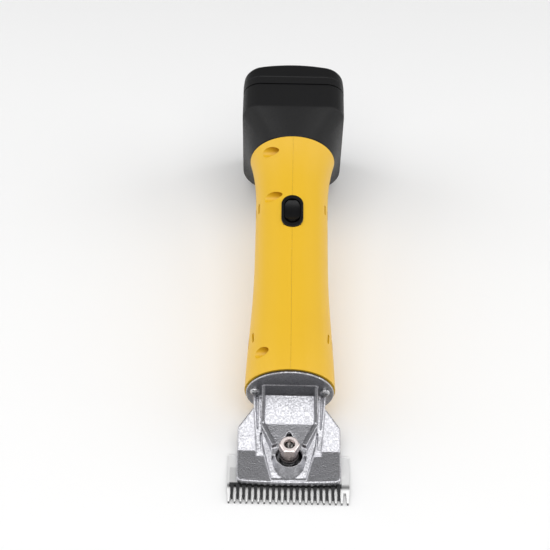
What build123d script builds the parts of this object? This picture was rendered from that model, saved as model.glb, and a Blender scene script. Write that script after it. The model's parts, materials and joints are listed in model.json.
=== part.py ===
"""Cordless animal clipper: comb and cutter head, geared motor handle and slide-on battery.

The row's origin is the middle of the object's footprint on the surface it rests on.
+Z is up, the comb tips point to -Y, the battery is at +Y and +X is the operator's right.
Lengths are in millimetres.  Two sets of coordinates are used:
  blade frame   x across, d the distance behind the comb tips, z the height over the surface
  handle frame  x across, s the distance behind the head flange, h the height over the handle's axis
"""
from build123d import *
import math
import os

# ---- overall ----
overall_length = 335.4          # comb tips to the lowest rear edge of the battery
tips = -overall_length / 2       # row Y of the comb tips
handle_tilt = 10.0               # rise of the handle's axis towards the battery, degrees
flange_d = 68.0                  # where the handle's axis meets the flange's rear face
flange_z = 30.3

# ---- blades ----
pitch = 3.85                     # tooth pitch of comb and cutter
comb_teeth = 21
comb_half_width = 39.7
comb_depth = 37.2
comb_thickness = 3.0
comb_root = 7.8                  # bottom of the gaps between comb teeth
cutter_teeth = 19
cutter_front = 1.2
cutter_root = 11.0
cutter_back = 24.0
cutter_bottom = comb_thickness + 0.05
cutter_top = 6.0
stroke = pitch                   # full travel of the cutter
cutter_x = -stroke / 2           # the cutter rests at its left dead point

# ---- drive fork ----
pivot_d = 47.0                   # the fork's pivot
peg_x = 5.6
peg_d = 18.6
peg_radius = 1.8
fork_swing = math.degrees(math.asin(stroke / 2 / (pivot_d - peg_d)))
stud_d = 24.2                    # tension stud and nut
stud_radius = 3.0
pivot_radius = 3.0
running = 0.05                   # radial clearance of every running fit

# ---- gear train ----
module = 0.8
pinion_teeth = 12
gear_teeth = 30
profile_shift = 0.3              # added to the pinion, taken from the gear
centre_distance = module * (pinion_teeth + gear_teeth) / 2
crank_h = -11.0                  # height of the crank shaft in the handle
motor_h = crank_h + centre_distance
crank_radius = 4.0
motor_shaft_radius = 2.5
roller_s = -9.0                  # middle of the crank roller
roller_radius = 5.0
roller_length = 7.0

# ---- handle ----
handle_start = 1.0
handle_end = 192.0
wall = 2.6
handle_radii = [(handle_start, 30.1), (28, 28.9), (56, 27.2), (85, 26.0), (115, 25.8),
                (145, 25.9), (166, 26.6), (180, 28.4), (handle_end, 31.0)]
screw_places = [(17.4, 21.7), (144.6, 21.0), (183.2, 23.2)]     # (s, h), and again below the axis
screw_radius = 1.5
screw_head_radius = 2.8
screw_seat = 5.0                 # the screw heads' seats, left of the seam
well_radius = 3.9
boss_radius = 4.9
switch_s = 129.5
switch_length = 27.4
switch_width = 15.4
switch_seat = 24.9

# ---- battery block ----
block_start = 217.0              # end of the flared collar
shoe_end = 238.6                 # end of the shoe that the battery slides into
case_seam = 245.0
block_end = 260.3
block_crown = 118.0              # radius of the rear face, seen from above
case_draft = 5.0                 # taper of the battery's rear case, degrees
block_half_width = 37.5
block_top = 35.0
block_bottom = -69.0
block_top_round = 14.0
block_bottom_round = 27.0
shoe_bottom = -46.0
slide_gap = 0.3                  # between the battery and the shoe

# ---- frames of reference ----
rear = Vector(0, math.cos(math.radians(handle_tilt)), math.sin(math.radians(handle_tilt)))
up = Vector(0, -math.sin(math.radians(handle_tilt)), math.cos(math.radians(handle_tilt)))
right = Vector(1, 0, 0)
flange_centre = Vector(0, tips + flange_d, flange_z)
blade = Plane(origin=(0, tips, 0))                                          # local x, d
blade_side = Plane(origin=(0, tips, 0), x_dir=(0, 1, 0), z_dir=(1, 0, 0))   # local d, z
handle_side = Plane(origin=flange_centre, x_dir=rear, z_dir=right)          # local s, h
seam = Plane.YZ


def at(s, h=0.0, x=0.0):
    """Point of the handle frame."""
    return flange_centre + rear * s + up * h + right * x


def across(s, h=0.0, x=0.0):
    """Plane square to the handle's axis, local x right and y up, facing the blades."""
    return Plane(origin=at(s, h, x), x_dir=right, z_dir=-rear)


def along(h):
    """Line parallel to the handle's axis at height h."""
    return Axis(at(0, h), rear)


def crosswise(s, h, x=0.0):
    """Plane facing right at a point of the handle frame, local x rearwards and y up."""
    return Plane(origin=at(s, h, x), x_dir=rear, z_dir=right)


def save(part, name):
    """Label a finished piece and write its STEP file."""
    part.label = name
    export_step(part, f"parts/{name}.step")


def turned(outline, h):
    """Solid of revolution about the line at height h; outline holds (s, radius) points."""
    with BuildPart() as body:
        with BuildSketch(Plane(origin=at(0, h), x_dir=rear, z_dir=right)):
            with BuildLine():
                Polyline(*outline, close=True)
            make_face()
        revolve(axis=along(h))
    return body.part


def tube(s_from, s_to, outer, inner, h):
    """Plain ring or, with no inner radius, a rod along the handle."""
    return turned([(s_from, inner), (s_to, inner), (s_to, outer), (s_from, outer)], h)


def block_section(inset=0.0):
    """Cross-section of the battery block, square to the handle's axis."""
    height = block_top - block_bottom - 2 * inset
    with BuildSketch() as section:
        with Locations((0, (block_top + block_bottom) / 2)):
            Rectangle(2 * (block_half_width - inset), height)
        corners = section.vertices().group_by(Axis.Y)
        fillet(corners[-1], block_top_round - inset)
        fillet(section.vertices().group_by(Axis.Y)[0], block_bottom_round - inset)
    return section.sketch


def band(x_half, h_low, h_high):
    """Rectangle symmetric about the middle plane, between two heights."""
    with BuildSketch() as area:
        with Locations((0, (h_low + h_high) / 2)):
            Rectangle(2 * x_half, h_high - h_low)
    return area.sketch


def gear_outline(teeth, shift, first_tooth):
    """Involute gear: the points of its outline, with a tooth centred on first_tooth degrees."""
    pressure = math.radians(20)
    base = module * teeth / 2 * math.cos(pressure)
    tip = module * (teeth / 2 + 1 + shift) - 0.05
    root = module * (teeth / 2 - 1.25 + shift)
    thinning = 0.07 / (module * teeth / 2)
    half_tooth = math.pi / 2 / teeth + 2 * shift * math.tan(pressure) / teeth - thinning
    half_tooth += math.tan(pressure) - pressure
    steps = 5
    start = max(base, root)
    flank = [(root, half_tooth)] if root < base else []
    for step in range(steps + 1):
        radius = start + (tip - start) * step / steps
        roll = math.acos(min(1.0, base / radius))
        flank.append((radius, half_tooth - math.tan(roll) + roll))
    points = []
    for tooth in range(teeth):
        middle = math.radians(first_tooth) + 2 * math.pi * tooth / teeth
        rising = [(radius, middle - angle) for radius, angle in flank]
        falling = [(radius, middle + angle) for radius, angle in reversed(flank)]
        for radius, angle in rising + falling:
            points.append((radius * math.cos(angle), radius * math.sin(angle)))
    return points


os.makedirs("parts", exist_ok=True)

# =====================================================================================
# Blades
# =====================================================================================


def toothed_plate(teeth, middle, front, gap_root, back, half_width, tip_width, root_width):
    """Plan of a toothed blade, in the blade frame."""
    with BuildSketch() as tooth:
        with BuildLine():
            left = Polyline((-root_width / 2, gap_root + 0.5), (-tip_width / 2, front + 0.6))
            tip = ThreePointArc(left @ 1, (0, front), (tip_width / 2, front + 0.6))
            Polyline(tip @ 1, (root_width / 2, gap_root + 0.5), left @ 0)
        make_face()
    with BuildSketch() as plan:
        with Locations((middle, (gap_root + back) / 2)):
            Rectangle(2 * half_width, back - gap_root)
        with Locations((middle, 0)):
            with GridLocations(pitch, 0, teeth, 1):
                add(tooth.sketch)
    return plan.sketch


with BuildPart() as comb_blade:
    with BuildSketch(blade):
        add(toothed_plate(comb_teeth, 0, 0, comb_root, comb_depth, comb_half_width, 1.0, 2.3))
    extrude(amount=comb_thickness)
    with BuildSketch(blade_side):
        Polygon((-1, 1.3), (10.5, comb_thickness), (-1, comb_thickness + 1), align=None)
    extrude(amount=comb_half_width + 1, both=True, mode=Mode.SUBTRACT)
    with BuildSketch(blade.offset(comb_thickness)):
        for end in (-1, 1):
            with Locations((end * 37.4, 32.2)):
                Rectangle(5.2, 7.6)
    extrude(amount=-0.5, mode=Mode.SUBTRACT)
    with BuildSketch(blade):
        with Locations((-22, 31.5), (22, 31.5)):
            Circle(2.2)
    extrude(amount=comb_thickness, mode=Mode.SUBTRACT)
    with BuildSketch(blade):
        with Locations((-22, 31.5), (22, 31.5)):
            Circle(4.0)
    extrude(amount=1.8, mode=Mode.SUBTRACT)
save(comb_blade.part, "comb_blade")

with BuildPart() as comb_screws:
    with BuildSketch(blade.offset(0.2)):
        with Locations((-22, 31.5), (22, 31.5)):
            Circle(3.8)
    extrude(amount=1.6)
    with BuildSketch(blade.offset(1.8)):
        with Locations((-22, 31.5), (22, 31.5)):
            Circle(2.0)
    extrude(amount=7.0)
    with BuildSketch(blade.offset(0.2)):
        with Locations((-22, 31.5), (22, 31.5)):
            Rectangle(6.4, 1.0)
    extrude(amount=0.9, mode=Mode.SUBTRACT)
save(comb_screws.part, "comb_screws")

plate_half_width = 8.6
plate_front = 15.6
plate_back = 20.8
plate_top = 9.8
slot_front = 16.2

with BuildPart() as cutter_blade:
    with BuildSketch(blade.offset(cutter_bottom)):
        add(toothed_plate(cutter_teeth, cutter_x, cutter_front, cutter_root, cutter_back, 36.4, 1.3, 2.5))
    extrude(amount=cutter_top - cutter_bottom)
    with BuildSketch(blade_side):
        Polygon((0, 3.9), (cutter_root + 1.5, cutter_top), (0, cutter_top + 1), align=None)
    extrude(amount=comb_half_width + 1, both=True, mode=Mode.SUBTRACT)
save(cutter_blade.part, "cutter_blade")

with BuildPart() as drive_plate:
    with BuildSketch(blade.offset(cutter_top)):
        with Locations((cutter_x, (plate_front + plate_back) / 2)):
            Rectangle(2 * plate_half_width, plate_back - plate_front)
        with Locations((cutter_x - peg_x, slot_front + 4), (cutter_x + peg_x, slot_front + 4)):
            SlotOverall(8, 2 * (peg_radius + running), rotation=90, mode=Mode.SUBTRACT)
    extrude(amount=plate_top - cutter_top)
    fillet(drive_plate.edges().filter_by(Axis.Z).group_by(Axis.X)[0], 1.0)
save(drive_plate.part, "drive_plate")

# =====================================================================================
# Drive fork and its pivot
# =====================================================================================
fork_bottom = 10.2
fork_low_top = 12.4
fork_top = 15.5
hub_radius = 7.2
stud_hole_radius = 4.8
yoke_gap = 7.4                   # half the gap that the crank roller swings in
yoke_wall = 3.4
yoke_front = 50.5
yoke_floor = 54.6
yoke_back = 63.4
yoke_bottom = 11.5
yoke_bridge_top = 20.0
yoke_top = 22.0

# the fork stands at its left dead point, turned about the pivot
fork = Plane(origin=(0, tips + pivot_d, 0), x_dir=Vector(1, 0, 0).rotate(Axis.Z, -fork_swing))

with BuildPart() as drive_fork:
    with BuildSketch(fork.offset(fork_bottom)):
        with Locations((-peg_x, peg_d - pivot_d), (peg_x, peg_d - pivot_d)):
            Circle(2.5)
        with Locations((0, stud_d - pivot_d)):
            Circle(hub_radius)
        make_hull()
    extrude(amount=fork_low_top - fork_bottom)
    with BuildSketch(fork.offset(fork_bottom)):
        with Locations((0, stud_d - pivot_d)):
            Circle(hub_radius)
        with Locations((0, 0)):
            Circle(7.6)
        make_hull()
    extrude(amount=fork_top - fork_bottom)
    with BuildSketch(fork.offset(fork_bottom)):
        Circle(7.6)
        with Locations((0, (yoke_floor - pivot_d) / 2)):
            Rectangle(12, yoke_floor - pivot_d)
    extrude(amount=17.6 - fork_bottom)
    with BuildSketch(fork.offset(yoke_bottom)):
        with Locations((0, (yoke_front + yoke_floor) / 2 - pivot_d)):
            Rectangle(2 * (yoke_gap + yoke_wall), yoke_floor - yoke_front)
    extrude(amount=yoke_bridge_top - yoke_bottom)
    with BuildSketch(fork.offset(yoke_bottom)):
        for side in (-1, 1):
            with Locations((side * (yoke_gap + yoke_wall / 2), (yoke_floor + yoke_back) / 2 - pivot_d)):
                Rectangle(yoke_wall, yoke_back - yoke_floor)
    extrude(amount=yoke_top - yoke_bottom)
    with BuildSketch(fork.offset(fork_bottom)):
        with Locations((-peg_x, peg_d - pivot_d), (peg_x, peg_d - pivot_d)):
            Circle(peg_radius)
    extrude(amount=-2.8)
    with BuildSketch(fork):
        with Locations((0, stud_d - pivot_d)):
            Circle(stud_hole_radius)
        with Locations((0, 0)):
            Circle(pivot_radius + running)
    extrude(amount=30, mode=Mode.SUBTRACT)
save(drive_fork.part, "drive_fork")

with BuildPart() as lever_pivot_pin:
    with BuildSketch(blade.offset(4.4)):
        with Locations((0, pivot_d)):
            Circle(pivot_radius)
    extrude(amount=16.0)
    chamfer(lever_pivot_pin.edges().filter_by(GeomType.CIRCLE), 0.4)
save(lever_pivot_pin.part, "lever_pivot_pin")

# =====================================================================================
# Blade tension: stud, spring, cap and nut
# =====================================================================================
web_bottom = 6.7
web_top = 9.7
spring_bottom = fork_top + 0.1
spring_top = 19.4
cap_top = 21.0
nut_shoulder = 26.4
nut_top = 33.0
stud_top = 31.6

with BuildPart() as tension_stud:
    with BuildSketch(blade.offset(web_bottom)):
        with Locations((0, stud_d)):
            Circle(stud_radius)
    extrude(amount=stud_top - web_bottom)
    chamfer(tension_stud.faces().sort_by(Axis.Z)[-1].edges(), 0.9)
    with BuildSketch(blade.offset(stud_top)):
        with Locations((0, stud_d)):
            Rectangle(1.1, 8)
    extrude(amount=-2.0, mode=Mode.SUBTRACT)
save(tension_stud.part, "tension_stud")

spring_wire = 0.6
spring_radius = 5.1
spring_turns = 2.4
spring_rise = spring_top - spring_bottom - 2 * spring_wire

with BuildPart() as tension_spring:
    with BuildLine():
        coil = Helix(pitch=spring_rise / spring_turns, height=spring_rise, radius=spring_radius,
                     center=(0, tips + stud_d, spring_bottom + spring_wire))
    with BuildSketch(Plane(origin=coil @ 0, z_dir=coil % 0)):
        Circle(spring_wire)
    sweep(is_frenet=True)
save(tension_spring.part, "tension_spring")

with BuildPart() as spring_cap:
    with BuildSketch(blade.offset(spring_top)):
        with Locations((0, stud_d)):
            Circle(6.1)
            Circle(stud_radius + running, mode=Mode.SUBTRACT)
    extrude(amount=cap_top - spring_top)
    with BuildSketch(blade.offset(spring_top)):
        with Locations((0, stud_d)):
            Circle(4.1)
            Circle(stud_radius + running, mode=Mode.SUBTRACT)
    extrude(amount=-1.9)
save(spring_cap.part, "spring_cap")

with BuildPart() as tension_nut:
    with BuildSketch(blade.offset(nut_shoulder - 0.01)):
        with Locations((0, stud_d)):
            RegularPolygon(6.8, 6, rotation=0)
    extrude(amount=nut_top - nut_shoulder + 0.01)
    with BuildSketch(Plane(origin=(0, tips + stud_d, 0), x_dir=(0, 1, 0), z_dir=(1, 0, 0))):
        Polygon((0, nut_shoulder), (6.0, nut_shoulder), (6.9, nut_shoulder + 0.7), (6.9, nut_top - 0.9),
                (5.5, nut_top), (0, nut_top), align=None)
    revolve(axis=Axis((0, tips + stud_d, 0), (0, 0, 1)), mode=Mode.INTERSECT)
    with BuildSketch(blade.offset(cap_top + 0.05)):
        with Locations((0, stud_d)):
            Circle(5.95)
    extrude(amount=nut_shoulder - cap_top)
    with BuildSketch(blade.offset(cap_top)):
        with Locations((0, stud_d)):
            Circle(stud_radius + running)
    extrude(amount=20, mode=Mode.SUBTRACT)
    with BuildSketch(blade.offset(nut_top)):
        with Locations((0, stud_d)):
            Circle(3.7)
    extrude(amount=-1.1, taper=30, mode=Mode.SUBTRACT)
save(tension_nut.part, "tension_nut")

# =====================================================================================
# Head casting
# =====================================================================================
lip_d = 9.8
plate_height = 10.0              # flat top of the two side wings
wing_half_width = 34.0
neck_half_width = 23.7
slope = math.tan(math.radians(22.5))
bend_d = 35.0                    # where the wings' tops start to rise
plateau_bend = 48.0              # where the middle channel starts to rise
channel_half_width = 16.5
rib_width = 1.8
flange_radius = 29.2
flange_thickness = 1.4
flange_screws = [(-23.0, 5.0), (23.0, 5.0)]     # (x, h)
opening_radius = 9.5             # crank's way through the flange


def raised(plan_points, side_points):
    """Body whose plan and side view are the two given outlines, in the blade frame."""
    with BuildPart() as body:
        with BuildSketch(blade):
            Polygon(*plan_points, align=None)
        extrude(amount=60)
        with BuildSketch(blade_side):
            Polygon(*side_points, align=None)
        extrude(amount=45, both=True, mode=Mode.INTERSECT)
    return body.part


def both_sides(points):
    """Close a half outline, given from front to rear, with its mirror image."""
    return points + [(-x, d) for x, d in reversed(points)]


wing_side = [(lip_d - 1.5, 6.7), (26, 6.7), (26, 3), (70, 3), (70, plate_height + 35 * slope),
             (bend_d, plate_height), (lip_d - 1.5, plate_height)]
shoulder = both_sides([(20.9, 29), (neck_half_width, 62), (neck_half_width, 70)])
shoulder_side = [(29, 7), (70, 7), (70, 27), (40, 14.6), (31, plate_height), (29, 9)]
mound = both_sides([(11.2, 12.2), (17.4, 37), (20.3, 70)])
mound_side = [(12, 7), (70, 7), (70, 29), (37, 17.5), (15, 12.6), (12, 11.2)]
plateau = both_sides([(11.4, 24.2), (11.8, 30.5), (18.3, 45.5), (18.3, 70)])
plateau_side = [(24, 7), (70, 7), (70, 22 + 22 * slope), (plateau_bend, 22), (24, 20)]
neck_edge = [(19.7, 30), (21.0, 30), (23.7, 62), (23.7, 70), (22.4, 70), (22.4, 62)]
neck_rib = [(18.6, 30), (19.9, 30), (20.9, 70), (19.6, 70)]
neck_rib_side = [(30, 7), (70, 7), (70, 28.4), (42, 16.8), (31.5, plate_height), (30, 9)]
fork_room = 10.2                 # half width of the hollow round the fork
yoke_room = 14.6                 # and round its yoke, behind yoke_room_front
yoke_room_front = 49.0
cavity_side = [(28.5, 6.6), (72, 6.6), (72, 29.6), (47.5, 19.5), (26, 17.6), (26, web_top), (28.5, web_top)]

with BuildPart() as head_casting:
    with BuildSketch(blade):
        with BuildLine():
            lip = ThreePointArc((-wing_half_width, lip_d + 1.2), (0, lip_d), (wing_half_width, lip_d + 1.2))
            Polyline(lip @ 1, (wing_half_width, 50), (neck_half_width, 63), (neck_half_width, 70),
                     (-neck_half_width, 70), (-neck_half_width, 63), (-wing_half_width, 50), lip @ 0)
        make_face()
    extrude(amount=60)
    fillet(head_casting.edges().filter_by(Axis.Z).group_by(Axis.Y)[0], 4)
    with BuildSketch(blade_side):
        Polygon(*wing_side, align=None)
    extrude(amount=45, both=True, mode=Mode.INTERSECT)
    rim = head_casting.edges().filter_by(lambda edge: edge.center().Z > plate_height - 0.5)
    fillet(rim.filter_by(Axis.X, reverse=True), 1.2)
    add(raised(shoulder, shoulder_side))
    for side in (-1, 1):
        for outline in (neck_edge, neck_rib):
            add(raised([(side * x, d) for x, d in outline], neck_rib_side))
    add(raised(mound, mound_side))
    add(raised(plateau, plateau_side))
    # conical boss round the nut
    with BuildSketch(blade.offset(7)):
        with Locations((0, stud_d)):
            Circle(13.2)
    extrude(amount=13, taper=17.5)
    # ribs from the flange to the plateau
    for side in (-1, 1):
        with BuildSketch(blade_side.offset(side * (channel_half_width + rib_width / 2))):
            Polygon((44, 15), (72, 15), (72, 44.5), (65.5, 42.5), (47.5, 23.4), (44, 22), align=None)
        extrude(amount=rib_width / 2, both=True)
        with BuildSketch(blade.offset(15)):
            Polygon((side * 8.4, 31), (side * 11.2, 29.8), (side * 18.3, 45.5), (side * 18.3, 48),
                    (side * 16.3, 48), align=None)
        extrude(amount=8.6)
    # hollow for the fork, the cutter's drive plate and the nut
    with BuildSketch(blade_side):
        Polygon(*cavity_side, align=None)
    extrude(amount=fork_room, both=True, mode=Mode.SUBTRACT)
    with BuildSketch(blade_side):
        Polygon((yoke_room_front, 6.6), (72, 6.6), (72, 29.6), (yoke_room_front, 20.1), align=None)
    extrude(amount=yoke_room, both=True, mode=Mode.SUBTRACT)
    with BuildSketch(blade.offset(6)):
        with Locations((0, (plate_front + plate_back) / 2 + 0.3)):
            Rectangle(2 * (plate_half_width + stroke / 2 + 0.35), plate_back - plate_front + 1.2)
    extrude(amount=4.2, mode=Mode.SUBTRACT)
    with BuildSketch(blade.offset(web_top)):
        with Locations((-7.6, peg_d), (7.6, peg_d), (-9, 27), (9, 27)):
            Circle(2.9)
        make_hull()
    extrude(amount=12.7 - web_top, mode=Mode.SUBTRACT)
    with BuildSketch(blade.offset(web_top)):
        with Locations((-1.7, stud_d), (1.7, stud_d)):
            Circle(hub_radius + 0.5)
        make_hull()
    extrude(amount=15.9 - web_top, mode=Mode.SUBTRACT)
    with BuildSketch(blade.offset(12)):
        with Locations((0, stud_d)):
            Circle(8.5)
        with Locations((0, 40.8)):
            Circle(1.2)
        make_hull()
    extrude(amount=20, mode=Mode.SUBTRACT)
    with BuildSketch(blade):
        with Locations((0, stud_d)):
            Circle(stud_radius)
    extrude(amount=12, mode=Mode.SUBTRACT)
    with BuildSketch(across(60)):
        Rectangle(120, 120)
    extrude(amount=60, mode=Mode.SUBTRACT)
    # flange, with a raised step between the ribs
    with BuildSketch(across(0)):
        Circle(flange_radius)
    extrude(amount=flange_thickness)
    with BuildSketch(across(-flange_thickness)):
        add(band(channel_half_width + 0.5, -3, 12.6))
    extrude(amount=0.6)
    with BuildSketch(across(2, crank_h)):
        Circle(opening_radius)
    extrude(amount=8, mode=Mode.SUBTRACT)
    with BuildSketch(across(1)):
        with Locations(*flange_screws):
            Circle(2.0)
    extrude(amount=flange_thickness + 1, mode=Mode.SUBTRACT)
    with BuildSketch(blade):
        with Locations((0, pivot_d)):
            Circle(pivot_radius)
    extrude(amount=20.4, mode=Mode.SUBTRACT)
    with BuildSketch(blade):
        with Locations((-22, 31.5), (22, 31.5)):
            Circle(2.0)
    extrude(amount=8.8, mode=Mode.SUBTRACT)
save(head_casting.part, "head_casting")

with BuildPart() as head_gasket:
    with BuildSketch(across(handle_start)):
        Circle(28.4)
        with Locations((0, crank_h)):
            Circle(opening_radius, mode=Mode.SUBTRACT)
        with Locations(*flange_screws):
            Circle(2.0, mode=Mode.SUBTRACT)
    extrude(amount=handle_start)
save(head_gasket.part, "head_gasket")


def pan_screw(s, h, x, length, shank, head):
    """Cross-recessed pan head screw pointing rearwards, its head's seat at station s."""
    with BuildPart() as screw:
        with BuildSketch(across(s + length, h, x)):
            Circle(shank)
        extrude(amount=length)
        with BuildSketch(across(s, h, x)):
            Circle(head)
        extrude(amount=0.75 * head)
        fillet(screw.faces().sort_by(Axis.Y)[0].edges(), 0.45 * head)
        with BuildSketch(across(s - 0.75 * head, h, x)):
            Rectangle(1.1 * head, 0.26 * head)
            Rectangle(0.26 * head, 1.1 * head)
        extrude(amount=-0.4 * head, mode=Mode.SUBTRACT)
    return screw.part


with BuildPart() as head_screws:
    for x, h in flange_screws:
        add(pan_screw(-flange_thickness, h, x, 10.0, 2.0, 3.3))
save(head_screws.part, "head_screws")

# =====================================================================================
# Gearbox: plates, posts, crank shaft with its bearing, gears and roller
# =====================================================================================
plate_rear = 9.0
motor_plate_front = 38.0
motor_plate_rear = 42.0
bearing_front = 1.6
bearing_rear = 8.6
bearing_outer = 11.0
ball_orbit = 7.75
ball_radius = 1.98
ball_groove = 2.02
ball_count = 7
gear_front = 26.0
gear_rear = 34.0
post_places = [(-19, 12), (19, 12), (-18.5, -13), (18.5, -13)]
post_radius = 2.5

with BuildPart() as gearbox_plate:
    with BuildSketch(across(plate_rear)):
        Circle(26.9)
        with Locations(*flange_screws):
            Circle(2.0, mode=Mode.SUBTRACT)
    extrude(amount=plate_rear - handle_start)
    add(tube(0, plate_rear + 1, opening_radius, 0, crank_h), mode=Mode.SUBTRACT)
    add(tube(bearing_front, plate_rear + 1, bearing_outer, 0, crank_h), mode=Mode.SUBTRACT)
save(gearbox_plate.part, "gearbox_plate")

with BuildPart() as gearbox_posts:
    for x, h in post_places:
        with BuildSketch(across(motor_plate_front, h, x)):
            Circle(post_radius)
        extrude(amount=motor_plate_front - plate_rear)
save(gearbox_posts.part, "gearbox_posts")

with BuildPart() as motor_plate:
    with BuildSketch(across(motor_plate_rear)):
        Circle(25.1)
        with Locations((0, crank_h)):
            Circle(6.5, mode=Mode.SUBTRACT)
        with Locations((0, motor_h)):
            Circle(5.4, mode=Mode.SUBTRACT)
        with Locations((-10, motor_h), (10, motor_h)):
            Circle(screw_radius, mode=Mode.SUBTRACT)
        with Locations((-20.5, -1), (20.5, -1)):
            SlotOverall(12, 4, rotation=90, mode=Mode.SUBTRACT)
    extrude(amount=motor_plate_rear - motor_plate_front)
save(motor_plate.part, "motor_plate")


def race(inner, outer):
    """Bearing race with the balls' groove turned in it."""
    with BuildPart() as ring:
        add(tube(bearing_front, bearing_rear, outer, inner, crank_h))
        with BuildSketch(Plane(origin=at(0, crank_h), x_dir=rear, z_dir=right)):
            with Locations(((bearing_front + bearing_rear) / 2, ball_orbit)):
                Circle(ball_groove)
        revolve(axis=along(crank_h), mode=Mode.SUBTRACT)
    return ring.part


save(race(8.7, bearing_outer), "front_bearing_outer")
save(race(crank_radius, 6.8), "front_bearing_inner")

with BuildPart() as bearing_balls:
    with Locations(across((bearing_front + bearing_rear) / 2, crank_h)):
        with PolarLocations(ball_orbit, ball_count):
            Sphere(ball_radius)
save(bearing_balls.part, "bearing_balls")

save(tube(motor_plate_front - 1, motor_plate_rear, 6.5, crank_radius + running, crank_h), "crank_bush")

throw = math.sin(math.radians(fork_swing)) * (at(roller_s, crank_h).Y - tips - pivot_d)
pin_radius = 2.0
pin_front = roller_s - roller_length / 2 - 1.3
web_front = -2.4

with BuildPart() as crank_shaft:
    add(tube(handle_start, motor_plate_rear, crank_radius, 0, crank_h))
    add(tube(web_front, handle_start, 7.5, 0, crank_h))
    add(tube(handle_start, bearing_front, 5.2, 0, crank_h))
    with BuildSketch(across(web_front, crank_h, throw)):
        Circle(pin_radius)
    extrude(amount=web_front - pin_front)
    with BuildSketch(across(pin_front + 1, crank_h, throw)):
        Circle(3.2)
    extrude(amount=1)
save(crank_shaft.part, "crank_shaft")

with BuildPart() as crank_roller:
    with BuildSketch(across(roller_s + roller_length / 2, crank_h, throw)):
        Circle(roller_radius)
        Circle(pin_radius + running, mode=Mode.SUBTRACT)
    extrude(amount=roller_length)
    chamfer(crank_roller.edges().filter_by(GeomType.CIRCLE).sort_by(SortBy.RADIUS)[-2:], 0.6)
save(crank_roller.part, "crank_roller")

with BuildPart() as crank_gear:
    with BuildSketch(across(gear_rear - 0.5, crank_h)):
        with BuildLine():
            Polyline(*gear_outline(gear_teeth, -profile_shift, 90 + 180 / gear_teeth), close=True)
        make_face()
        Circle(crank_radius, mode=Mode.SUBTRACT)
        with PolarLocations(8.2, 6):
            Circle(1.6, mode=Mode.SUBTRACT)
    extrude(amount=gear_rear - gear_front - 1)
save(crank_gear.part, "crank_gear")

# =====================================================================================
# Motor
# =====================================================================================
can_radius = 15.5
can_wall = 1.2
can_rear = 94.0
cap_rear = 100.0
core_radius = 11.4
core_front = 51.0
core_rear = 81.0
shaft_rear = 111.0

with BuildPart() as motor_pinion:
    with BuildSketch(across(gear_rear, motor_h)):
        with BuildLine():
            Polyline(*gear_outline(pinion_teeth, profile_shift, -90), close=True)
        make_face()
        Circle(motor_shaft_radius, mode=Mode.SUBTRACT)
    extrude(amount=gear_rear - gear_front)
save(motor_pinion.part, "motor_pinion")

save(tube(gear_front - 1, shaft_rear, motor_shaft_radius, 0, motor_h), "rotor_shaft")

with BuildPart() as motor_can:
    add(turned([(motor_plate_rear, 5.2), (motor_plate_rear, can_radius), (can_rear, can_radius),
                (can_rear, can_radius - can_wall), (motor_plate_rear + 2, can_radius - can_wall),
                (motor_plate_rear + 2, 5.2)], motor_h))
    with BuildSketch(across(motor_plate_rear + 3, motor_h)):
        with Locations((-10, 0), (10, 0)):
            Circle(screw_radius)
    extrude(amount=4, mode=Mode.SUBTRACT)
save(motor_can.part, "motor_can")

with BuildPart() as motor_magnets:
    with BuildSketch(across(84, motor_h)):
        Circle(can_radius - can_wall)
        Circle(12.0, mode=Mode.SUBTRACT)
        Rectangle(10, 40, mode=Mode.SUBTRACT)
    extrude(amount=36)
save(motor_magnets.part, "motor_magnets")

with BuildPart() as rotor_core:
    with BuildSketch(across(core_rear, motor_h)):
        Circle(core_radius)
        Circle(motor_shaft_radius, mode=Mode.SUBTRACT)
        with PolarLocations(8.0, 10):
            SlotOverall(4.6, 2.6, mode=Mode.SUBTRACT)
        with PolarLocations(11.0, 10):
            Rectangle(2.4, 1.0, mode=Mode.SUBTRACT)
    extrude(amount=core_rear - core_front)
save(rotor_core.part, "rotor_core")

with BuildPart() as rotor_windings:
    for s_from, s_to in ((46.5, core_front), (core_rear, 86.0)):
        add(turned([(s_from, 4.2), (s_to, 4.2), (s_to, 8.8), ((s_from + s_to) / 2, 10.6),
                    (s_from, 8.8)], motor_h))
    with BuildSketch(across(core_rear, motor_h)):
        with PolarLocations(8.0, 10):
            SlotOverall(4.4, 2.4)
    extrude(amount=core_rear - core_front)
save(rotor_windings.part, "rotor_windings")

commutator_radius = 5.0
with BuildPart() as commutator:
    with BuildSketch(across(98.0, motor_h)):
        Circle(commutator_radius)
        Circle(motor_shaft_radius, mode=Mode.SUBTRACT)
        with PolarLocations(commutator_radius, 10, start_angle=18):
            Rectangle(1.2, 0.4, mode=Mode.SUBTRACT)
    extrude(amount=98.0 - 86.5)
save(commutator.part, "commutator")

with BuildPart() as brushes:
    with BuildSketch(across(97.5, motor_h)):
        for side in (-1, 1):
            with Locations((side * (commutator_radius + 0.15 + 2.6), 0)):
                Rectangle(5.2, 3.2)
    extrude(amount=4.5)
save(brushes.part, "brushes")

with BuildPart() as motor_end_cap:
    add(turned([(can_rear, can_radius), (cap_rear, can_radius), (cap_rear, 7), (cap_rear + 2, 7),
                (cap_rear + 2, 4.8), (98.6, 4.8), (98.6, 10.8), (can_rear, 10.8)], motor_h))
    with BuildSketch(across(cap_rear + 1, motor_h)):
        with Locations((0, 11.5), (0, -11.5)):
            SlotOverall(8, 2.4)
    extrude(amount=8, mode=Mode.SUBTRACT)
save(motor_end_cap.part, "motor_end_cap")

with BuildPart() as motor_bushes:
    add(tube(40.5, 45.5, 5.2, motor_shaft_radius + running, motor_h))
    add(tube(98.6, cap_rear + 2, 4.8, motor_shaft_radius + running, motor_h))
save(motor_bushes.part, "motor_bushes")

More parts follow.
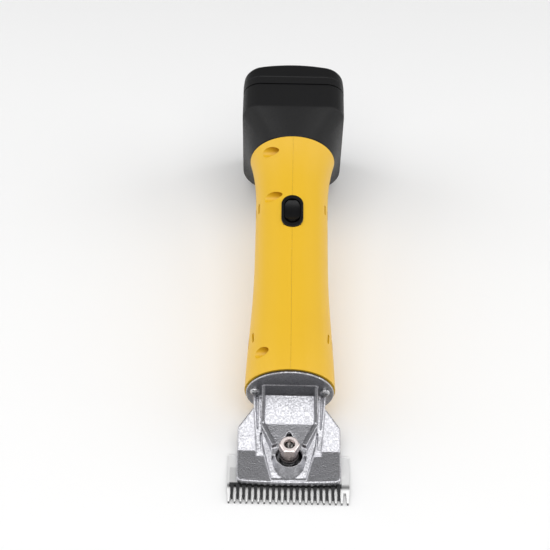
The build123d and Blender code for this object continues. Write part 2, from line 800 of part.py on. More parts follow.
with BuildPart() as motor_screws:
    for side in (-1, 1):
        add(pan_screw(motor_plate_front, motor_h, side * 10, 6.0, screw_radius, 2.6))
save(motor_screws.part, "motor_screws")

fan_front = 104.0
fan_rear = 109.5
fan_radius = 13.0
with BuildPart() as cooling_fan:
    add(tube(fan_front, fan_rear, 4.5, motor_shaft_radius, motor_h))
    add(tube(fan_rear - 1.2, fan_rear, fan_radius, 4, motor_h))
    with BuildSketch(across(fan_rear, motor_h)):
        with PolarLocations(8.4, 9):
            Rectangle(9.0, 1.0, rotation=14)
    extrude(amount=fan_rear - fan_front)
save(cooling_fan.part, "cooling_fan")

# =====================================================================================
# Handle shells
# =====================================================================================


def handle_solid(inset):
    """Solid inside the handle's outline, inset by a wall."""
    with BuildPart() as solid:
        with BuildSketch(handle_side):
            with BuildLine():
                outline = Spline(*[(s, radius - inset) for s, radius in handle_radii])
                Polyline(outline @ 1, (handle_end, 0), (handle_start, 0), outline @ 0)
            make_face()
        revolve(axis=along(0))
    return solid.part


envelope = handle_solid(0)
inside = handle_solid(wall)
vent_length = 8.4
vent_width = 2.2


def handle_half(side):
    """Left (side -1) or right (side 1) half of the handle's casing."""
    with BuildPart() as half:
        add(envelope)
        add(inside, mode=Mode.SUBTRACT)
        for s, h in screw_places:
            for height in (h, -h):
                with BuildSketch(crosswise(s, height)):
                    Circle(boss_radius)
                extrude(amount=20, both=True)
        add(envelope, mode=Mode.INTERSECT)
        for s, h in screw_places:
            for height in (h, -h):
                with BuildSketch(crosswise(s, height, -40)):
                    Circle(screw_radius)
                extrude(amount=40 + screw_seat, mode=Mode.SUBTRACT)
                with BuildSketch(crosswise(s, height, -40)):
                    Circle(well_radius)
                extrude(amount=40 - screw_seat, mode=Mode.SUBTRACT)
        # seat and opening for the switch
        with BuildSketch(Plane(origin=at(switch_s, switch_seat), x_dir=rear, z_dir=up)):
            SlotOverall(switch_length + 0.2, switch_width + 0.2)
        extrude(amount=8, mode=Mode.SUBTRACT)
        with BuildSketch(Plane(origin=at(switch_s, 12), x_dir=rear, z_dir=up)):
            Rectangle(23.0, 12.4)
        extrude(amount=20, mode=Mode.SUBTRACT)
        # cooling slits near the motor's front and behind the fan
        for s, angles, slant in ((33.4, (28, 10, -8, -26), -14), (141.5, (24, 8, -8), 0)):
            for angle in angles:
                turn = math.radians(angle)
                outward = right * (side * math.cos(turn)) + up * math.sin(turn)
                with BuildSketch(Plane(origin=at(s), x_dir=rear, z_dir=outward)):
                    SlotOverall(vent_length, vent_width, rotation=side * slant)
                extrude(amount=40, mode=Mode.SUBTRACT)
        keep = Keep.TOP if side > 0 else Keep.BOTTOM
        split(bisect_by=seam.offset(side * 0.05), keep=keep)
    return half.part


save(handle_half(-1), "handle_shell_left")
save(handle_half(1), "handle_shell_right")

with BuildPart() as handle_screws:
    for s, h in screw_places:
        for height in (h, -h):
            with BuildSketch(crosswise(s, height, -screw_seat)):
                Circle(screw_radius)
            extrude(amount=2 * screw_seat)
            with BuildSketch(crosswise(s, height, -screw_seat)):
                Circle(screw_head_radius)
            extrude(amount=-2.2)
            with BuildSketch(crosswise(s, height, -screw_seat - 2.2)):
                Rectangle(3.4, 0.8)
                Rectangle(0.8, 3.4)
            extrude(amount=1.4, mode=Mode.SUBTRACT)
save(handle_screws.part, "handle_screws")

# =====================================================================================
# Switch
# =====================================================================================
rocker_pivot_h = 22.0
rocker_radius = 10.0
rocker_width = 10.8
rocker_tilt = 7.0                # the switch rests off, its front end raised
switch_top = 26.4
switch_plane = Plane(origin=at(switch_s), x_dir=rear, z_dir=up)

with BuildPart() as switch_frame:
    with BuildSketch(switch_plane.offset(switch_seat)):
        SlotOverall(switch_length, switch_width)
    extrude(amount=switch_top - switch_seat)
    fillet(switch_frame.faces().sort_by(Axis.Z)[-1].edges(), 0.6)
    with BuildSketch(switch_plane.offset(8)):
        Rectangle(22.6, 12.2)
    extrude(amount=switch_seat - 8)
    with BuildSketch(switch_plane.offset(11)):
        SlotOverall(2 * rocker_radius + 1.0, rocker_width + 0.7)
    extrude(amount=20, mode=Mode.SUBTRACT)
save(switch_frame.part, "switch_frame")

with BuildPart() as rocker_button:
    tilted = rear * math.cos(math.radians(rocker_tilt)) - up * math.sin(math.radians(rocker_tilt))
    with BuildSketch(Plane(origin=at(switch_s, rocker_pivot_h), x_dir=tilted, z_dir=right)):
        Circle(rocker_radius)
        with Locations((0, 1.0)):
            Rectangle(2 * rocker_radius, 7.4, mode=Mode.INTERSECT)
        with Locations((0, 4.7 + 22 - 1.9)):
            Circle(22, mode=Mode.SUBTRACT)
    extrude(amount=rocker_width / 2, both=True)
    # trimmed to the opening at both ends of its travel
    for turn in (0, -2 * rocker_tilt):
        opening = Plane(origin=at(switch_s, rocker_pivot_h), x_dir=rear.rotate(Axis.X, turn),
                        z_dir=up.rotate(Axis.X, turn))
        with BuildSketch(opening):
            SlotOverall(2 * rocker_radius, rocker_width)
        extrude(amount=20, both=True, mode=Mode.INTERSECT)
save(rocker_button.part, "rocker_button")

# =====================================================================================
# Battery foot, its terminals and the control board
# =====================================================================================
shoe_wall = 3.4
shoe_inner = block_half_width - shoe_wall
rail_inner = 28.5
rail_front = 224.0
rail_rear = 230.0
rail_top = 12.0
shoe_roof = block_top - shoe_wall
head_top = 13.5                  # top of the battery's rail head
hook_half_width = 6.0

with BuildPart() as battery_foot:
    with BuildSketch(across(handle_end)):
        Circle(31.0)
    with BuildSketch(across(block_start)):
        add(block_section())
    loft()
    with BuildSketch(across(shoe_end)):
        add(block_section())
    extrude(amount=shoe_end - block_start)
    # hollow behind the handle
    add(tube(handle_end - 1, 211, 25.5, 0, 0), mode=Mode.SUBTRACT)
    # spigot that the handle halves close on
    add(tube(handle_end - 3.6, handle_end, 26.6, 24, 0))
    # shoe, open below, with its rails
    with BuildSketch(across(shoe_end + 1)):
        add(block_section(shoe_wall))
        add(band(shoe_inner, -80, -10))
    extrude(amount=shoe_end + 1 - 219, mode=Mode.SUBTRACT)
    with BuildSketch(across(shoe_end + 1)):
        add(band(60, -80, shoe_bottom))
    extrude(amount=shoe_end + 1 - block_start, mode=Mode.SUBTRACT)
    with BuildSketch(across(rail_rear)):
        for side in (-1, 1):
            with Locations((side * (rail_inner + shoe_inner + 0.1) / 2, (rail_top + shoe_bottom + 2) / 2)):
                Rectangle(shoe_inner - rail_inner + 0.1, rail_top - shoe_bottom - 2)
    extrude(amount=rail_rear - rail_front)
    # way for the wires, and the latch's groove
    with BuildSketch(across(220)):
        add(band(12, 15, 23))
    extrude(amount=12, mode=Mode.SUBTRACT)
    with BuildSketch(across(block_start + 1)):
        add(band(hook_half_width, -80, -56))
    extrude(amount=4.4, mode=Mode.SUBTRACT)
save(battery_foot.part, "battery_foot")

with BuildPart() as terminal_block:
    with BuildSketch(across(229)):
        add(band(17, head_top + 0.6, shoe_roof - 0.1))
    extrude(amount=229 - 219)
    with BuildSketch(across(219)):
        add(band(11.9, 15.1, 22.9))
    extrude(amount=5)
    with BuildSketch(across(225)):
        for x in (-11, 0, 11):
            with Locations((x, 20)):
                Rectangle(6, 16)
    extrude(amount=0.8, mode=Mode.SUBTRACT)
save(terminal_block.part, "terminal_block")

with BuildPart() as terminal_blades:
    with BuildSketch(across(225)):
        for x in (-11, 0, 11):
            with Locations((x, 14)):
                Rectangle(6, 24)
    extrude(amount=0.8)
save(terminal_blades.part, "terminal_blades")

with BuildPart() as control_board:
    with BuildSketch(Plane(origin=at(165.5, -12), x_dir=rear, z_dir=up)):
        Rectangle(27, 34)
    extrude(amount=1.6)
save(control_board.part, "control_board")

with BuildPart() as board_parts:
    board_top = Plane(origin=at(165.5, -10.4), x_dir=rear, z_dir=up)
    with BuildSketch(board_top):
        with Locations((7, 8), (7, -8)):
            Circle(4.0)
    extrude(amount=11)
    with BuildSketch(board_top):
        with Locations((-6, 0)):
            Rectangle(10, 14)
    extrude(amount=4.5)
    with BuildSketch(board_top):
        with Locations((-6, 12), (-6, -12)):
            Rectangle(6, 5)
    extrude(amount=2)
save(board_parts.part, "board_parts")

wire_radius = 0.9
wire_routes = []
for side in (-1, 1):
    wire_routes.append([at(214.0, 19, 4 * side), at(205, 19, 4 * side), at(190, -8, 6 * side),
                        at(179.2, -8, 6 * side)])
    wire_routes.append([at(151.8, -14, 8 * side), at(130, -14, 9 * side), at(114, -13.5, 10 * side),
                        at(102, -13.5, 10 * side), at(102, -3, 10 * side)])
    wire_routes.append([at(153.9, -8, 4 * side), at(146, -7, 3 * side), at(134, -3, 3 * side),
                        at(134, 7.9, 3 * side)])

with BuildPart() as internal_wires:
    for route in wire_routes:
        with BuildLine():
            path = FilletPolyline(*route, radius=2.6)
        with BuildSketch(Plane(origin=path @ 0, z_dir=path % 0)):
            Circle(wire_radius)
        sweep(path=path)
save(internal_wires.part, "internal_wires")

# =====================================================================================
# Battery
# =====================================================================================
body_front = rail_rear + slide_gap + 0.3
body_half_width = shoe_inner - slide_gap
slab_front = shoe_end + slide_gap
cell_radius = 9.2
cell_length = 65.0
cell_count = 4
cell_pitch = 18.7
cell_s = 243.4
cell_middle_h = -12.0
cell_room = (-50.0, 26.0)        # heights that the cells' room lies between
case_screws = [(-27, -56), (27, -56), (-25.5, 29.3), (25.5, 29.3)]
chin_front = block_start + slide_gap
chin_top = shoe_bottom - slide_gap
case_screw_front = 238.0
case_screw_seat = 250.0
latch_room_rear = 232.0
tee_front = 219.4
tee_rear = rail_front - slide_gap

with BuildPart() as battery_case_front:
    with BuildSketch(across(case_seam)):
        add(block_section())
    extrude(amount=case_seam - slab_front)
    # lower chin, as deep as the shoe
    with BuildSketch(across(case_seam)):
        add(block_section())
        add(band(60, -80, chin_top), mode=Mode.INTERSECT)
    extrude(amount=case_seam - chin_front)
    # head that slides in the shoe, with a groove for each rail
    with BuildSketch(across(case_seam)):
        add(block_section(shoe_wall + slide_gap))
        add(band(body_half_width, -60, -10))
        add(band(60, chin_top - 1, 60), mode=Mode.INTERSECT)
    extrude(amount=case_seam - body_front)
    with BuildSketch(across(case_seam)):
        add(band(rail_inner - slide_gap, chin_top - 1, head_top))
    extrude(amount=case_seam - tee_front)
    with BuildSketch(across(tee_rear)):
        add(band(body_half_width - 0.2, chin_top - 1, head_top))
    extrude(amount=tee_rear - tee_front)
    # room for the cells and the board
    with BuildSketch(across(case_seam + 1)):
        add(band(32.6, *cell_room))
    extrude(amount=case_seam + 1 - 234.0, mode=Mode.SUBTRACT)
    with BuildSketch(across(236)):
        add(band(26.5, chin_top + 2, head_top - 4))
    extrude(amount=236 - 221.5, mode=Mode.SUBTRACT)
    # slits for the blades of the foot's terminal block
    with BuildSketch(across(225.6)):
        for x in (-11, 0, 11):
            with Locations((x, head_top - 4)):
                Rectangle(7.2, 20)
    extrude(amount=2.0, mode=Mode.SUBTRACT)
    # room for the latch
    with BuildSketch(across(latch_room_rear)):
        add(band(9.0, -66.0, -51.4))
    extrude(amount=latch_room_rear - chin_front - 2.0, mode=Mode.SUBTRACT)
    with BuildSketch(across(232)):
        add(band(hook_half_width - 0.6, -64.6, -56.6))
    extrude(amount=20, mode=Mode.SUBTRACT)
    with BuildSketch(across(231.5)):
        add(band(7.0, -75.0, -60.0))
    extrude(amount=231.5 - 221.0, mode=Mode.SUBTRACT)
    for x, h in case_screws:
        with BuildSketch(across(case_seam + 1, h, x)):
            Circle(1.25)
        extrude(amount=case_seam + 1 - case_screw_front, mode=Mode.SUBTRACT)
save(battery_case_front.part, "battery_case_front")

with BuildPart() as battery_case_rear:
    with BuildSketch(Plane(origin=at(case_seam), x_dir=-right, z_dir=rear)):
        add(block_section())
    extrude(amount=block_end - case_seam, taper=case_draft)
    with BuildSketch(Plane(origin=at(block_end - block_crown, -100), x_dir=right, z_dir=up)):
        Circle(block_crown)
    extrude(amount=200, mode=Mode.INTERSECT)
    back_face = battery_case_rear.faces().sort_by(along(0))[-1]
    fillet(back_face.edges(), 5.0)
    with BuildSketch(across(253.0)):
        add(band(32.6, *cell_room))
    extrude(amount=253.0 - case_seam, mode=Mode.SUBTRACT)
    for x, h in case_screws:
        with BuildSketch(across(block_end, h, x)):
            Circle(1.25)
        extrude(amount=20, mode=Mode.SUBTRACT)
        with BuildSketch(across(block_end + 1, h, x)):
            Circle(2.6)
        extrude(amount=block_end + 1 - case_screw_seat, mode=Mode.SUBTRACT)
save(battery_case_rear.part, "battery_case_rear")

with BuildPart() as battery_cells:
    for number in range(cell_count):
        height = cell_middle_h + (number - (cell_count - 1) / 2) * cell_pitch
        with BuildSketch(crosswise(cell_s, height, -cell_length / 2)):
            Circle(cell_radius)
        extrude(amount=cell_length)
save(battery_cells.part, "battery_cells")

with BuildPart() as battery_board:
    with BuildSketch(across(232.5)):
        add(band(24, -40, 8))
    extrude(amount=1.6)
save(battery_board.part, "battery_board")

with BuildPart() as battery_terminals:
    for x in (-11, 0, 11):
        for s_rear in (226.4, 223.2):
            with BuildSketch(across(s_rear)):
                with Locations((x, 3.0)):
                    Rectangle(5.0, 8.0)
            extrude(amount=0.6)
        with BuildSketch(across(230.9)):
            with Locations((x, -2.0)):
                Rectangle(5.0, 2.0)
        extrude(amount=230.9 - 222.6)
save(battery_terminals.part, "battery_terminals")

latch_hook_front = 214.0
latch_front = 220.0
latch_rear = 224.5
with BuildPart() as latch_button:
    with BuildSketch(across(latch_rear)):
        add(band(8.0, -65.0, -52.0))
    extrude(amount=latch_rear - latch_front)
    with BuildSketch(across(latch_front + 0.1)):
        add(band(hook_half_width - 1.0, -64.0, -57.2))
    extrude(amount=latch_front + 0.1 - latch_hook_front)
    with BuildSketch(across(latch_rear + 2.0)):
        add(band(6.4, -69.8, -62.0))
    extrude(amount=latch_rear + 2.0 - 221.4)
save(latch_button.part, "latch_button")

latch_wire = 0.45
latch_spring_length = latch_room_rear - latch_rear - 0.2 - 2 * latch_wire
with BuildPart() as latch_spring:
    with BuildLine():
        latch_coil = Helix(pitch=latch_spring_length / 5, height=latch_spring_length, radius=3.0,
                           center=at(latch_rear + 0.1 + latch_wire, -55.5), direction=rear)
    with BuildSketch(Plane(origin=latch_coil @ 0, z_dir=latch_coil % 0)):
        Circle(latch_wire)
    sweep(is_frenet=True)
save(latch_spring.part, "latch_spring")

with BuildPart() as battery_screws:
    for x, h in case_screws:
        with BuildSketch(across(case_screw_seat, h, x)):
            Circle(1.25)
        extrude(amount=case_screw_seat - case_screw_front)
        with BuildSketch(across(case_screw_seat + 1.8, h, x)):
            Circle(2.4)
        extrude(amount=1.8)
        with BuildSketch(across(case_screw_seat + 1.8, h, x)):
            Rectangle(3.0, 0.7)
            Rectangle(0.7, 3.0)
        extrude(amount=1.2, mode=Mode.SUBTRACT)
save(battery_screws.part, "battery_screws")
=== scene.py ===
import json
import math

import bpy
from mathutils import Matrix, Vector


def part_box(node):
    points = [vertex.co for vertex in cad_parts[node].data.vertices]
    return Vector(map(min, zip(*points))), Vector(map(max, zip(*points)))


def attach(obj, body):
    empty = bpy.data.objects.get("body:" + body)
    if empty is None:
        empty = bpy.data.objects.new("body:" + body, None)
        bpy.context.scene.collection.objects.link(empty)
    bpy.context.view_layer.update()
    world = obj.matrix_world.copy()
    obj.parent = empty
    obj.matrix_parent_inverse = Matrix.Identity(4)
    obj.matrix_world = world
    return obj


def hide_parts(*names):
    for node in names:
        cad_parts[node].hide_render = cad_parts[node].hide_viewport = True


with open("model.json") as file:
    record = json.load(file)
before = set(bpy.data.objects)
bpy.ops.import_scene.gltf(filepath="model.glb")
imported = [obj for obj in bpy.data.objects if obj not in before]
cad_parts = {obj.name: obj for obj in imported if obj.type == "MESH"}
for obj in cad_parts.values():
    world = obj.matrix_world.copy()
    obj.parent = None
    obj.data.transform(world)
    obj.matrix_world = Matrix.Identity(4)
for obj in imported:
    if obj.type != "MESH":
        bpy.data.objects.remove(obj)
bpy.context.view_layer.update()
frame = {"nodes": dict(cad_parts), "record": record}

MM = 0.001
nodes = frame["nodes"]
record = frame["record"]
body_of = {name: body for body, members in record["behaviour"]["bodies"].items() for name in members}
slot_of = {entry["node"]: entry["material_slot"] for entry in record["subparts"]}
tips_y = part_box("comb_blade")[0].y


# ---------------------------------------------------------------------------------------
# Camera: in front of the blades and above them, as a product picture of a clipper is taken
# ---------------------------------------------------------------------------------------
VIEW_ELEVATION = math.radians(47.03)
VIEW_ROLL = math.radians(1.1)
CAMERA_FROM_TIPS = Vector((-0.0113, -0.4767, 0.7289))
LENS_PER_SENSOR = 1330 / 550


def make_camera():
    camera = bpy.data.objects.new("camera", bpy.data.cameras.new("camera"))
    bpy.context.scene.collection.objects.link(camera)
    forward = Vector((0, math.cos(VIEW_ELEVATION), -math.sin(VIEW_ELEVATION)))
    level_up = Vector((0, math.sin(VIEW_ELEVATION), math.cos(VIEW_ELEVATION)))
    level_right = Vector((1, 0, 0))
    cos_roll, sin_roll = math.cos(VIEW_ROLL), math.sin(VIEW_ROLL)
    right = level_right * cos_roll + level_up * sin_roll
    up = level_up * cos_roll - level_right * sin_roll
    turn = Matrix((right, up, -forward)).transposed().to_4x4()
    camera.matrix_world = Matrix.Translation(CAMERA_FROM_TIPS + Vector((0, tips_y, 0))) @ turn
    camera.data.sensor_width = 36
    camera.data.lens = 36 * LENS_PER_SENSOR
    camera.data.clip_start = 0.05
    camera.data.clip_end = 20
    bpy.context.scene.camera = camera


make_camera()


# ---------------------------------------------------------------------------------------
# Materials
# ---------------------------------------------------------------------------------------
NOISE_ROUGHNESS = 0.55
EDGE_POINTINESS = (0.52, 0.6)             # where an edge starts to show, and where it shows in full
LIP_SHADE_BAND = (9 * MM, 12 * MM, 15 * MM)     # behind the tips: painted shade under the head's lip, its start, its darkest line and its end
PRONG_ROOT = (12 * MM, 13 * MM)           # behind the tips: where the cutter's dark prongs end
DARK_TIP = (0.3 * MM, 1.2 * MM)           # behind the tips: where the teeth's dark points fade


class Paint:
    """Builds one node material; every method adds nodes and returns an output socket."""

    def __init__(self, name, color, roughness, metallic=0.0, **sockets):
        self.material = bpy.data.materials.new(name)
        self.material.use_nodes = True
        self.tree = self.material.node_tree
        self.shader = self.tree.nodes["Principled BSDF"]
        self.shader.inputs["Base Color"].default_value = (*color, 1)
        self.shader.inputs["Roughness"].default_value = roughness
        self.shader.inputs["Metallic"].default_value = metallic
        for socket, value in sockets.items():
            self.shader.inputs[socket.replace("_", " ")].default_value = value
        self.place = self.tree.nodes.new("ShaderNodeTexCoord").outputs["Object"]

    def link(self, source, target):
        self.tree.links.new(source, target)

    def stretched(self, x=1.0, y=1.0, z=1.0):
        """Object coordinates scaled along the axes."""
        mapping = self.tree.nodes.new("ShaderNodeMapping")
        mapping.inputs["Scale"].default_value = (x, y, z)
        self.link(self.place, mapping.inputs["Vector"])
        return mapping.outputs["Vector"]

    def noise(self, size, detail=3.0, place=None):
        """Noise whose features are about size metres across."""
        noise = self.tree.nodes.new("ShaderNodeTexNoise")
        noise.inputs["Scale"].default_value = 1 / size
        noise.inputs["Detail"].default_value = detail
        noise.inputs["Roughness"].default_value = NOISE_ROUGHNESS
        self.link(place or self.place, noise.inputs["Vector"])
        return noise.outputs["Fac"]

    def range(self, value, low, high, to_low=0.0, to_high=1.0):
        """Value mapped from low..high, and kept inside the range."""
        node = self.tree.nodes.new("ShaderNodeMapRange")
        node.interpolation_type = "SMOOTHSTEP"
        self.link(value, node.inputs["Value"])
        for socket, number in zip(("From Min", "From Max", "To Min", "To Max"), (low, high, to_low, to_high)):
            node.inputs[socket].default_value = number
        return node.outputs["Result"]

    def along(self, axis):
        """One coordinate of the point, in metres."""
        node = self.tree.nodes.new("ShaderNodeSeparateXYZ")
        self.link(self.place, node.inputs[0])
        return node.outputs[axis]

    def edges(self):
        """1 on outer edges, 0 elsewhere."""
        geometry = self.tree.nodes.new("ShaderNodeNewGeometry")
        return self.range(geometry.outputs["Pointiness"], *EDGE_POINTINESS)

    def facing(self, axis):
        """How squarely the surface faces along an axis, either way: 0 to 1."""
        normal = self.tree.nodes.new("ShaderNodeSeparateXYZ")
        self.link(self.tree.nodes.new("ShaderNodeTexCoord").outputs["Normal"], normal.inputs[0])
        size = self.tree.nodes.new("ShaderNodeMath")
        size.operation = "ABSOLUTE"
        self.link(normal.outputs[axis], size.inputs[0])
        return size.outputs[0]

    def multiply(self, first, second):
        node = self.tree.nodes.new("ShaderNodeMath")
        node.operation = "MULTIPLY"
        self.link(first, node.inputs[0])
        self.link(second, node.inputs[1])
        return node.outputs[0]

    def color(self, factor, other):
        """Blend the base colour towards another where factor is 1."""
        mix = self.tree.nodes.new("ShaderNodeMix")
        mix.data_type = "RGBA"
        self.link(factor, mix.inputs["Factor"])
        current = self.shader.inputs["Base Color"]
        if current.is_linked:
            self.link(current.links[0].from_socket, mix.inputs["A"])
        else:
            mix.inputs["A"].default_value = current.default_value
        mix.inputs["B"].default_value = (*other, 1)
        self.link(mix.outputs["Result"], current)
        return self

    def rough(self, factor, low, high):
        """Roughness from low to high as factor goes from 0 to 1."""
        self.link(self.range(factor, 0.3, 0.7, low, high), self.shader.inputs["Roughness"])
        return self

    def bump(self, height, distance, strength=1.0):
        """Fine relief, distance metres deep."""
        node = self.tree.nodes.new("ShaderNodeBump")
        node.inputs["Strength"].default_value = strength
        node.inputs["Distance"].default_value = distance
        self.link(height, node.inputs["Height"])
        normal = self.shader.inputs["Normal"]
        if normal.is_linked:
            self.link(normal.links[0].from_socket, node.inputs["Normal"])
        self.link(node.outputs["Normal"], normal)
        return self


def cast_alloy():
    paint = Paint("cast_alloy", (0.52, 0.52, 0.545), 0.36, 1.0)
    grain = paint.noise(0.0011, 2.0)
    paint.rough(grain, 0.27, 0.42)
    paint.bump(grain, 0.00024)
    paint.bump(paint.noise(0.004, 2.0), 0.00010)
    paint.color(paint.range(grain, 0.38, 0.62, 0.0, 0.55), (0.26, 0.26, 0.28))
    pits = paint.range(paint.noise(0.0010, 1.0), 0.70, 0.75)
    paint.color(pits, (0.10, 0.10, 0.11))
    paint.color(paint.range(paint.noise(0.02, 4.0), 0.4, 0.75, 0.0, 0.25), (0.38, 0.38, 0.41))
    # painted shade: faces turned forwards or backwards are darkened
    paint.color(paint.range(paint.facing("Y"), 0.85, 0.97, 0.0, 0.4), (0.14, 0.14, 0.15))
    # painted highlight: rounded edges lightened as if catching the light
    paint.color(paint.edges(), (0.80, 0.80, 0.82))
    return paint.material


def ground_steel():
    paint = Paint("blade_steel", (0.95, 0.95, 0.95), 0.36, 0.35)
    strokes = paint.noise(0.0022, 2.0, paint.stretched(14, 1, 1))
    paint.rough(strokes, 0.28, 0.46)
    paint.bump(strokes, 0.00002)
    paint.color(paint.range(paint.noise(0.012, 4.0), 0.5, 0.8, 0.0, 0.25), (0.45, 0.44, 0.43))
    # painted shade: a dark band across the blade where it lies under the head's lip
    shade_start, shade_darkest, shade_end = (tips_y + distance for distance in LIP_SHADE_BAND)
    shade_rise = paint.range(paint.along("Y"), shade_start, shade_darkest, 0.0, 0.8)
    shade_fall = paint.range(paint.along("Y"), shade_darkest, shade_end, 1.0, 0.0)
    paint.color(paint.multiply(shade_rise, shade_fall), (0.10, 0.10, 0.10))
    # painted shade: the teeth's side walls, facing the gaps between the teeth, are darkened
    paint.color(paint.range(paint.facing("X"), 0.35, 0.8, 0.0, 0.85), (0.05, 0.05, 0.05))
    tip_start, tip_end = (tips_y + distance for distance in DARK_TIP)
    tooth_tip = paint.range(paint.along("Y"), tip_start, tip_end, 0.9, 0.0)
    paint.color(tooth_tip, (0.04, 0.04, 0.04))
    return paint.material


def dark_steel():
    paint = Paint("cutter_steel", (0.80, 0.80, 0.80), 0.38, 0.6)
    strokes = paint.noise(0.002, 2.0, paint.stretched(10, 1, 1))
    paint.rough(strokes, 0.28, 0.5)
    paint.bump(strokes, 0.00002)
    paint.color(paint.range(strokes, 0.5, 0.8, 0.0, 0.4), (0.50, 0.50, 0.50))
    root_start, root_end = (tips_y + distance for distance in PRONG_ROOT)
    prongs = paint.range(paint.along("Y"), root_start, root_end, 1.0, 0.0)
    paint.color(prongs, (0.022, 0.022, 0.024))
    return paint.material


def polished_steel():
    paint = Paint("bright_steel", (0.92, 0.82, 0.80), 0.24, 1.0)
    # painted light: top faces are made less metallic so they read lighter than the sides
    paint.link(paint.range(paint.facing("Z"), 0.75, 0.95, 1.0, 0.25), paint.shader.inputs["Metallic"])
    turned = paint.noise(0.0016, 2.0, paint.stretched(0.3, 0.3, 4))
    paint.rough(turned, 0.20, 0.32)
    paint.bump(turned, 0.000004)
    paint.color(paint.range(paint.noise(0.006, 3.0), 0.45, 0.8, 0.0, 0.15), (0.60, 0.50, 0.47))
    # painted shade: the nut's sides are darkened, its top left light
    paint.color(paint.range(paint.facing("Z"), 0.2, 0.75, 0.85, 0.0), (0.24, 0.20, 0.19))
    return paint.material


def stud_steel():
    """Dark in the nut's bore, partly oily staining and partly painted shade; painted highlights in stripes on
    its top faces.
    """
    paint = Paint("stud_steel", (0.13, 0.115, 0.11), 0.3, 1.0)
    haze = paint.noise(0.0012, 3.0)
    paint.rough(haze, 0.22, 0.40)
    paint.bump(haze, 0.00002)
    # painted highlight: bright stripes on the top faces of the stud's end
    slot_glints = paint.range(paint.noise(0.0007, 1.0, paint.stretched(1, 0.1, 0.1)), 0.42, 0.56)
    top = paint.range(paint.facing("Z"), 0.9, 0.99, 0.0, 0.9)
    paint.color(paint.multiply(top, slot_glints), (0.95, 0.92, 0.90))
    return paint.material


def plated_steel():
    paint = Paint("screw_steel", (0.56, 0.56, 0.57), 0.3, 1.0)
    haze = paint.noise(0.0012, 3.0)
    paint.rough(haze, 0.22, 0.42)
    paint.bump(haze, 0.00002)
    paint.color(paint.range(haze, 0.55, 0.8, 0.0, 0.6), (0.20, 0.20, 0.21))
    return paint.material


def oiled_steel():
    paint = Paint("gear_steel", (0.34, 0.34, 0.35), 0.3, 1.0)
    haze = paint.noise(0.003, 4.0)
    paint.rough(haze, 0.2, 0.45)
    paint.bump(paint.noise(0.0006, 2.0), 0.00002)
    paint.color(paint.range(haze, 0.5, 0.8, 0.0, 0.6), (0.14, 0.12, 0.10))
    return paint.material


def machined_alloy():
    paint = Paint("machined_alloy", (0.70, 0.71, 0.72), 0.3, 1.0)
    cuts = paint.noise(0.0006, 2.0, paint.stretched(1, 6, 1))
    paint.rough(cuts, 0.24, 0.4)
    paint.bump(cuts, 0.00002)
    return paint.material


def metal(name, color, roughness=0.35):
    paint = Paint(name, color, roughness, 1.0)
    haze = paint.noise(0.0015, 3.0)
    paint.rough(haze, roughness - 0.08, roughness + 0.12)
    paint.bump(haze, 0.00003)
    return paint.material


def yellow_plastic():
    paint = Paint("yellow_plastic", (0.80, 0.475, 0.014), 0.42)
    grain = paint.noise(0.0005, 2.0)
    paint.rough(grain, 0.36, 0.48)
    paint.bump(grain, 0.000025)
    paint.bump(paint.noise(0.03, 1.0), 0.00015)
    paint.color(paint.range(paint.noise(0.05, 3.0), 0.4, 0.75, 0.0, 0.25), (0.74, 0.42, 0.010))
    return paint.material


def black_plastic(name, lit_edges):
    """Black moulding; on request, for pieces with a fine mesh, its edges are painted lighter as a painted
    highlight.
    """
    paint = Paint(name, (0.0045, 0.0045, 0.005), 0.48, Specular_IOR_Level=0.3)
    grain = paint.noise(0.0007, 2.0)
    paint.rough(grain, 0.42, 0.60)
    paint.bump(grain, 0.00005)
    if lit_edges:
        # painted highlight: edges lightened
        paint.color(paint.edges(), (0.022, 0.022, 0.024))
    return paint.material


def plastic(name, color, roughness=0.45, grain_size=0.0008, depth=0.00003, **sockets):
    paint = Paint(name, color, roughness, **sockets)
    grain = paint.noise(grain_size, 2.0)
    paint.rough(grain, roughness - 0.06, roughness + 0.08)
    paint.bump(grain, depth)
    shade = tuple(0.7 * part for part in color)
    paint.color(paint.range(paint.noise(0.01, 3.0), 0.4, 0.75, 0.0, 0.5), shade)
    return paint.material


finishes = {
    "cast_alloy": cast_alloy(),
    "blade_steel": ground_steel(),
    "bright_steel": polished_steel(),
    "screw_steel": plated_steel(),
    "gear_steel": oiled_steel(),
    "machined_alloy": machined_alloy(),
    "motor_steel": metal("motor_steel", (0.50, 0.51, 0.53)),
    "bronze": metal("bronze", (0.55, 0.36, 0.16)),
    "copper": metal("copper", (0.72, 0.30, 0.13), 0.3),
    "terminal_brass": metal("terminal_brass", (0.80, 0.62, 0.32), 0.28),
    "magnet": metal("magnet", (0.10, 0.10, 0.11), 0.5),
    "yellow_plastic": yellow_plastic(),
    "black_plastic": black_plastic("black_plastic", False),
    "switch_plastic": plastic("switch_plastic", (0.004, 0.004, 0.0045), 0.34, 0.0009, 0.000004,
                              Specular_IOR_Level=0.25),
    "gasket_rubber": plastic("gasket_rubber", (0.02, 0.02, 0.02), 0.7),
    "carbon": plastic("carbon", (0.03, 0.03, 0.03), 0.6),
    "fan_plastic": plastic("fan_plastic", (0.75, 0.74, 0.70), 0.4),
    "board": plastic("board", (0.02, 0.16, 0.06), 0.35),
    "component": plastic("component", (0.05, 0.05, 0.06), 0.4),
    "wire_insulation": plastic("wire_insulation", (0.45, 0.02, 0.015), 0.4),
    "cell_wrap": plastic("cell_wrap", (0.03, 0.14, 0.34), 0.3),
}
special_finishes = {"cutter_blade": dark_steel(), "tension_stud": stud_steel()}

for name, node in nodes.items():
    finish = special_finishes.get(name) or finishes[slot_of[name]]
    node.data.materials.clear()
    node.data.materials.append(finish)


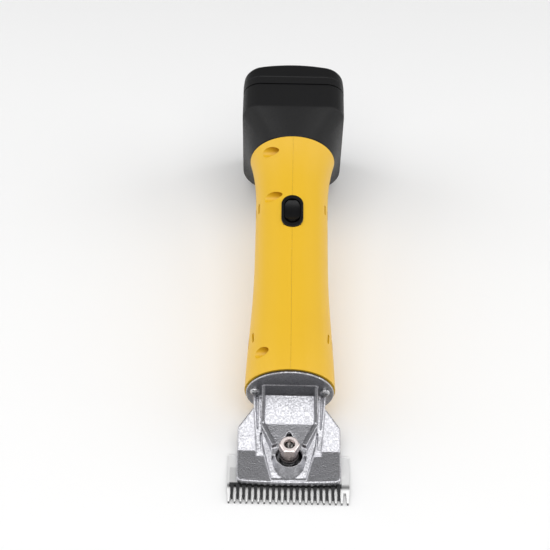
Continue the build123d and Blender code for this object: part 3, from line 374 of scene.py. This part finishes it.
# ---------------------------------------------------------------------------------------
# Pieces whose moulded or cast edges are rounder than the frame's
# ---------------------------------------------------------------------------------------
def with_modifiers(mesh_object):
    """The object's mesh with its modifiers applied."""
    graph = bpy.context.evaluated_depsgraph_get()
    return bpy.data.meshes.new_from_object(mesh_object.evaluated_get(graph))


def rounded_copy(node_name, name, voxel, passes, finish):
    """Copy of a CAD node with every edge rounded over about passes times a voxel."""
    piece = bpy.data.objects.new(name, nodes[node_name].data.copy())
    bpy.context.scene.collection.objects.link(piece)
    remesh = piece.modifiers.new("remesh", "REMESH")
    remesh.mode = "VOXEL"
    remesh.voxel_size = voxel
    smooth = piece.modifiers.new("smooth", "SMOOTH")
    smooth.factor = 0.5
    smooth.iterations = passes
    mesh = with_modifiers(piece)
    piece.modifiers.clear()
    piece.data = mesh
    for polygon in mesh.polygons:
        polygon.use_smooth = True
    mesh.materials.clear()
    mesh.materials.append(finish)
    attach(piece, body_of[node_name])
    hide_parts(node_name)
    return piece


edge_lit_plastic = black_plastic("black_plastic_lit_edges", True)
rounded_copy("head_casting", "cast_head", 0.4 * MM, 4, finishes["cast_alloy"])
rounded_copy("drive_plate", "rounded_drive_plate", 0.25 * MM, 5, finishes[slot_of["drive_plate"]])
rounded_copy("battery_foot", "moulded_foot", 0.6 * MM, 6, edge_lit_plastic)
rounded_copy("battery_case_rear", "moulded_case_rear", 0.6 * MM, 3, edge_lit_plastic)


# ---------------------------------------------------------------------------------------
# Studio
# ---------------------------------------------------------------------------------------
FLOOR_SIZE = 12
OVERHEAD_POWER = 19
SIDE_POWER = 9.5
AMBIENT = 0.18


def floor():
    bpy.ops.mesh.primitive_plane_add(size=FLOOR_SIZE, location=(0, 0, 0))
    plane = bpy.context.active_object
    plane.name = "studio_floor"
    paint = Paint("studio_white", (0.93, 0.93, 0.93), 0.8)
    paint.bump(paint.noise(0.05, 2.0), 0.00002)
    plane.data.materials.append(paint.material)


def softbox(name, place, target, size, power):
    light = bpy.data.objects.new(name, bpy.data.lights.new(name, "AREA"))
    bpy.context.scene.collection.objects.link(light)
    light.data.shape = "RECTANGLE"
    light.data.size = size[0]
    light.data.size_y = size[1]
    light.data.energy = power
    light.location = place
    light.rotation_euler = (Vector(target) - Vector(place)).to_track_quat("-Z", "Y").to_euler()


floor()
softbox("overhead", (0.0, -0.45, 1.5), (0, -0.25, 0), (1.8, 1.5), OVERHEAD_POWER)
for name, side in (("left", -1), ("right", 1)):
    softbox(name, (side * 1.3, 0.1, 0.7), (0, 0, 0.03), (1.0, 1.6), SIDE_POWER)

world = bpy.data.worlds.new("studio")
bpy.context.scene.world = world
world.use_nodes = True
world.node_tree.nodes["Background"].inputs["Color"].default_value = (1, 1, 1, 1)
world.node_tree.nodes["Background"].inputs["Strength"].default_value = AMBIENT
bpy.context.scene.view_settings.view_transform = "Standard"
